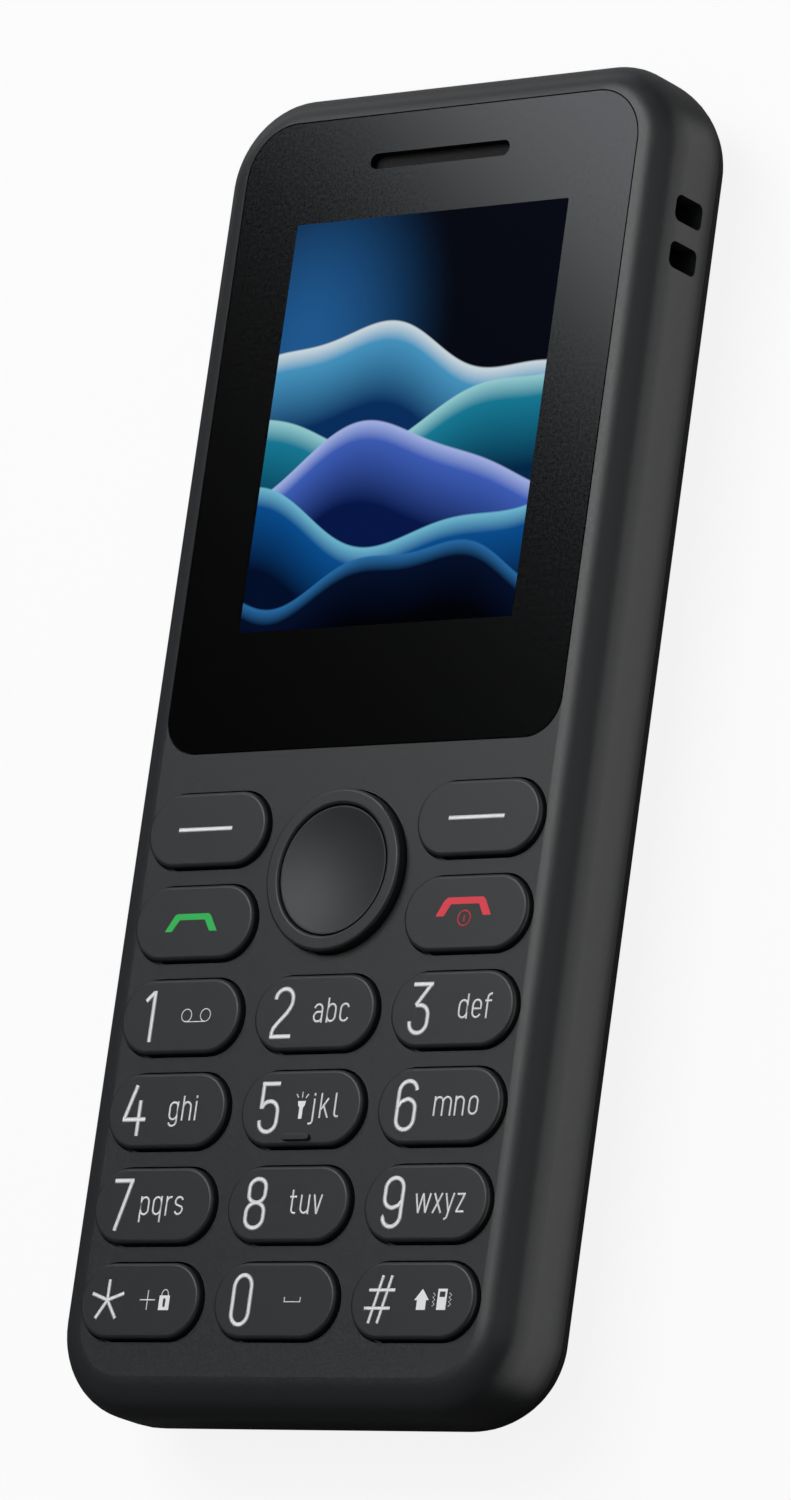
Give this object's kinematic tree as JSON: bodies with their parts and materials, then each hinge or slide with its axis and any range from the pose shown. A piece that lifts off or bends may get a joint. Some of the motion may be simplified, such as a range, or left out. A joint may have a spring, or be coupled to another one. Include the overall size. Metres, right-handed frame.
{
  "type": "keypad mobile phone",
  "caption": "Charcoal keypad mobile phone with a small colour display, pill-shaped keys, a round navigation key with a dished middle, a sliding battery cover and strap holes.",
  "frame": {"origin": "middle of the back face, under the middle of the phone's outline", "axes": "+X to the right of the keypad, +Y to the earpiece end, +Z out of the display"},
  "size_m": [0.0464, 0.1116, 0.0135],
  "materials": {
    "case_plastic": "matt",
    "inner_plastic": "matt",
    "window_plastic": "gloss",
    "key_plastic": "matt",
    "display_glass": "gloss",
    "white_plastic": "matt",
    "clear_plastic": "gloss",
    "silicone": "matt",
    "foam": "matt",
    "film": "satin",
    "board": "satin",
    "black_plastic": "matt",
    "steel": "satin",
    "heavy_metal": "satin",
    "gold": "satin",
    "battery_can": "satin"
  },
  "bodies": {
    "phone": {"antenna": "steel", "audio_jack": "black_plastic", "backlight_unit": "white_plastic", "baseband_shield": "steel", "battery": "battery_can", "battery_connector": "black_plastic", "battery_contacts": "gold", "case_screws": "steel", "connector_springs": "gold", "display_flex": "film", "display_gasket": "foam", "display_window": "window_plastic", "dome_film": "film", "earpiece": "steel", "earpiece_mesh": "steel", "front_housing": "case_plastic", "keymat": "silicone", "keypad_leds": "white_plastic", "lcd_panel": "display_glass", "loudspeaker": "steel", "main_board": "board", "microphone": "steel", "microphone_boot": "silicone", "power_shield": "steel", "rear_housing": "inner_plastic", "sim_holder": "steel", "snap_domes": "steel", "speaker_gasket": "foam", "speaker_membrane": "film", "torch_led": "white_plastic", "torch_lens": "clear_plastic", "usb_socket": "steel", "vibration_motor": "steel", "window_adhesive": "foam"},
    "key_0": {"key_0": "key_plastic"},
    "key_1": {"key_1": "key_plastic"},
    "key_2": {"key_2": "key_plastic"},
    "key_3": {"key_3": "key_plastic"},
    "key_4": {"key_4": "key_plastic"},
    "key_5": {"key_5": "key_plastic"},
    "key_6": {"key_6": "key_plastic"},
    "key_7": {"key_7": "key_plastic"},
    "key_8": {"key_8": "key_plastic"},
    "key_9": {"key_9": "key_plastic"},
    "key_call": {"key_call": "key_plastic"},
    "key_end": {"key_end": "key_plastic"},
    "key_hash": {"key_hash": "key_plastic"},
    "key_soft_left": {"key_soft_left": "key_plastic"},
    "key_soft_right": {"key_soft_right": "key_plastic"},
    "key_star": {"key_star": "key_plastic"},
    "select_key": {"select_key": "key_plastic"},
    "nav_pad": {"nav_pad": "silicone"},
    "nav_ring": {"nav_ring": "key_plastic"},
    "rotor": {"motor_shaft": "steel", "motor_weight": "heavy_metal"},
    "battery_cover": {"battery_cover": "case_plastic"}
  },
  "joints": [
    {"name": "key_0_press", "type": "slide", "parent": "phone", "child": "key_0", "axis": [0, 0, -1], "range_m": [0, 0.0003], "stiffness_N_per_m": 5000},
    {"name": "key_1_press", "type": "slide", "parent": "phone", "child": "key_1", "axis": [0, 0, -1], "range_m": [0, 0.0003], "stiffness_N_per_m": 5000},
    {"name": "key_2_press", "type": "slide", "parent": "phone", "child": "key_2", "axis": [0, 0, -1], "range_m": [0, 0.0003], "stiffness_N_per_m": 5000},
    {"name": "key_3_press", "type": "slide", "parent": "phone", "child": "key_3", "axis": [0, 0, -1], "range_m": [0, 0.0003], "stiffness_N_per_m": 5000},
    {"name": "key_4_press", "type": "slide", "parent": "phone", "child": "key_4", "axis": [0, 0, -1], "range_m": [0, 0.0003], "stiffness_N_per_m": 5000},
    {"name": "key_5_press", "type": "slide", "parent": "phone", "child": "key_5", "axis": [0, 0, -1], "range_m": [0, 0.0003], "stiffness_N_per_m": 5000},
    {"name": "key_6_press", "type": "slide", "parent": "phone", "child": "key_6", "axis": [0, 0, -1], "range_m": [0, 0.0003], "stiffness_N_per_m": 5000},
    {"name": "key_7_press", "type": "slide", "parent": "phone", "child": "key_7", "axis": [0, 0, -1], "range_m": [0, 0.0003], "stiffness_N_per_m": 5000},
    {"name": "key_8_press", "type": "slide", "parent": "phone", "child": "key_8", "axis": [0, 0, -1], "range_m": [0, 0.0003], "stiffness_N_per_m": 5000},
    {"name": "key_9_press", "type": "slide", "parent": "phone", "child": "key_9", "axis": [0, 0, -1], "range_m": [0, 0.0003], "stiffness_N_per_m": 5000},
    {"name": "key_call_press", "type": "slide", "parent": "phone", "child": "key_call", "axis": [0, 0, -1], "range_m": [0, 0.0003], "stiffness_N_per_m": 5000},
    {"name": "key_end_press", "type": "slide", "parent": "phone", "child": "key_end", "axis": [0, 0, -1], "range_m": [0, 0.0003], "stiffness_N_per_m": 5000},
    {"name": "key_hash_press", "type": "slide", "parent": "phone", "child": "key_hash", "axis": [0, 0, -1], "range_m": [0, 0.0003], "stiffness_N_per_m": 5000},
    {"name": "key_soft_left_press", "type": "slide", "parent": "phone", "child": "key_soft_left", "axis": [0, 0, -1], "range_m": [0, 0.0003], "stiffness_N_per_m": 5000},
    {"name": "key_soft_right_press", "type": "slide", "parent": "phone", "child": "key_soft_right", "axis": [0, 0, -1], "range_m": [0, 0.0003], "stiffness_N_per_m": 5000},
    {"name": "key_star_press", "type": "slide", "parent": "phone", "child": "key_star", "axis": [0, 0, -1], "range_m": [0, 0.0003], "stiffness_N_per_m": 5000},
    {"name": "select_press", "type": "slide", "parent": "phone", "child": "select_key", "axis": [0, 0, -1], "range_m": [0, 0.0003], "stiffness_N_per_m": 5000},
    {"name": "nav_tilt_up_down", "type": "hinge", "parent": "phone", "child": "nav_pad", "pos_m": [0, -0.01167, 0.0101], "axis": [1, 0, 0], "range_deg": [-1.5, 1.5], "stiffness_Nm_per_rad": 0.35},
    {"name": "nav_tilt_left_right", "type": "hinge", "parent": "nav_pad", "child": "nav_ring", "pos_m": [0, -0.01167, 0.0101], "axis": [0, 1, 0], "range_deg": [-1.5, 1.5], "stiffness_Nm_per_rad": 0.35},
    {"name": "motor_spin", "type": "hinge", "parent": "phone", "child": "rotor", "pos_m": [0.004, -0.0453, 0.0044], "axis": [1, 0, 0], "continuous": true},
    {"name": "cover_slide", "type": "slide", "parent": "phone", "child": "battery_cover", "axis": [0, -1, 0], "range_m": [0, 0.01]}
  ]
}
